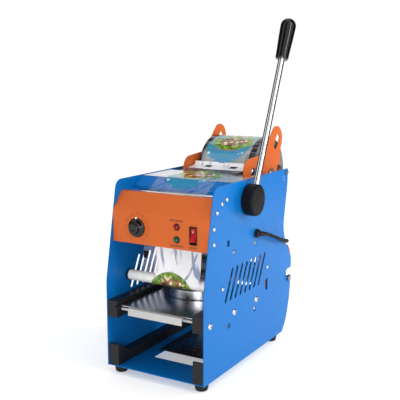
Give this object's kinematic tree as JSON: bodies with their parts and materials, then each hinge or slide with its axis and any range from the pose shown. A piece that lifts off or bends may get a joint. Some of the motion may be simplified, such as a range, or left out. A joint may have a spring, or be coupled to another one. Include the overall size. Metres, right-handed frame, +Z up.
{
  "type": "manual cup sealing machine",
  "caption": "Counter-top lever press that heat-seals printed film onto a drinking cup held in a sliding ring tray, with a film roll on top and a waste roll behind.",
  "frame": {"origin": "bottom centre of the machine's bounding box, cord left out, on the plane that the feet stand on", "axes": "+Z up, -Y out of the front towards the user, +X towards the lever side"},
  "size_m": [0.23, 0.524, 0.6344],
  "materials": {
    "blue_paint": "satin powder coat",
    "orange_paint": "satin powder coat",
    "black_plastic": "moulded, slight sheen",
    "black_rubber": "matt",
    "stainless": "bright, finely brushed",
    "chrome": "polished",
    "aluminium": "turned and polished",
    "steel": "machined",
    "white_paint": "gloss",
    "ivory_plastic": "smooth",
    "silicone": "smooth, slightly clear",
    "brass": "machined",
    "mica_board": "pressed board",
    "film": "glossy printed film",
    "red_plastic": "clear moulding",
    "green_plastic": "clear moulding"
  },
  "bodies": {
    "frame": {"left_side_plate": "blue_paint", "right_side_plate": "blue_paint", "base_plate": "blue_paint", "cup_rest_mat": "black_rubber", "foot_front_left": "black_rubber", "foot_front_right": "black_rubber", "foot_rear_left": "black_rubber", "foot_rear_right": "black_rubber", "base_rail_left": "black_plastic", "base_rail_right": "black_plastic", "tray_rail_left": "black_plastic", "tray_rail_right": "black_plastic", "head_bridge": "steel", "return_spring_left": "steel", "return_spring_right": "steel", "shaft_bearing_left": "brass", "shaft_bearing_right": "brass", "control_box": "orange_paint", "thermostat_body": "black_plastic", "heat_light": "red_plastic", "temp_light": "green_plastic", "rocker_housing": "black_plastic", "deck_plate": "stainless", "slope_plate": "blue_paint", "roll_cradle": "blue_paint", "front_film_rod": "chrome", "rear_film_rod": "chrome", "front_roller_shaft": "steel", "roll_bracket_left": "orange_paint", "roll_bracket_right": "orange_paint", "film_web": "film", "rear_cover": "orange_paint", "cable_gland": "black_plastic", "power_cord": "black_rubber", "cord_coil": "black_rubber", "plug": "black_plastic"},
    "lever": {"pinion_shaft": "steel", "lever_hub": "black_plastic", "lever_rod": "chrome", "lever_grip": "black_plastic"},
    "sealing_head": {"heater_block": "aluminium", "insulator_disc": "mica_board", "cutter_ring": "steel", "head_plate": "steel", "guide_post_left": "chrome", "guide_post_right": "chrome", "head_rack": "steel"},
    "tray": {"tray_plate": "stainless", "tray_handle": "white_paint", "cup_ring": "aluminium", "cup_ring_seal": "silicone"},
    "supply_roll": {"film_roll": "film", "roll_chuck_left": "black_plastic", "roll_chuck_right": "black_plastic", "roll_axle": "steel"},
    "guide_roller": {"guide_roller": "chrome"},
    "front_roller": {"front_roller": "ivory_plastic"},
    "waste_roll": {"waste_roll": "film"},
    "knob": {"thermostat_knob": "black_plastic"},
    "rocker": {"rocker_button": "red_plastic"}
  },
  "joints": [
    {"name": "lever_hinge", "type": "hinge", "parent": "frame", "child": "lever", "pos_m": [-0.0105, -0.044, 0.3115], "axis": [1, 0, 0], "range_deg": [0, 90]},
    {"name": "head_slide", "type": "slide", "parent": "frame", "child": "sealing_head", "axis": [0, 0, -1], "range_m": [0, 0.0237], "stiffness_N_per_m": 900, "springref_m": -0.025, "deforming": ["return_spring_left", "return_spring_right"]},
    {"name": "tray_slide", "type": "slide", "parent": "frame", "child": "tray", "axis": [0, -1, 0], "range_m": [0, 0.14]},
    {"name": "supply_roll_spin", "type": "hinge", "parent": "frame", "child": "supply_roll", "pos_m": [-0.0105, 0.127, 0.335], "axis": [1, 0, 0], "continuous": true},
    {"name": "guide_roller_spin", "type": "hinge", "parent": "frame", "child": "guide_roller", "pos_m": [-0.0105, 0.0456, 0.3481], "axis": [1, 0, 0], "continuous": true},
    {"name": "front_roller_spin", "type": "hinge", "parent": "frame", "child": "front_roller", "pos_m": [-0.0105, -0.1355, 0.1685], "axis": [1, 0, 0], "continuous": true},
    {"name": "waste_roll_spin", "type": "hinge", "parent": "frame", "child": "waste_roll", "pos_m": [-0.0105, 0.144, 0.1215], "axis": [1, 0, 0], "continuous": true},
    {"name": "thermostat_knob_turn", "type": "hinge", "parent": "frame", "child": "knob", "pos_m": [-0.0575, -0.1785, 0.269], "axis": [0, 1, 0], "range_deg": [0, 300]},
    {"name": "rocker_switch_tilt", "type": "hinge", "parent": "frame", "child": "rocker", "pos_m": [0.0567, -0.1735, 0.2665], "axis": [1, 0, 0], "range_deg": [0, 20]}
  ],
  "couplings": [
    {"joint": "head_slide", "follows": "lever_hinge", "m_per_rad": 0.015}
  ]
}
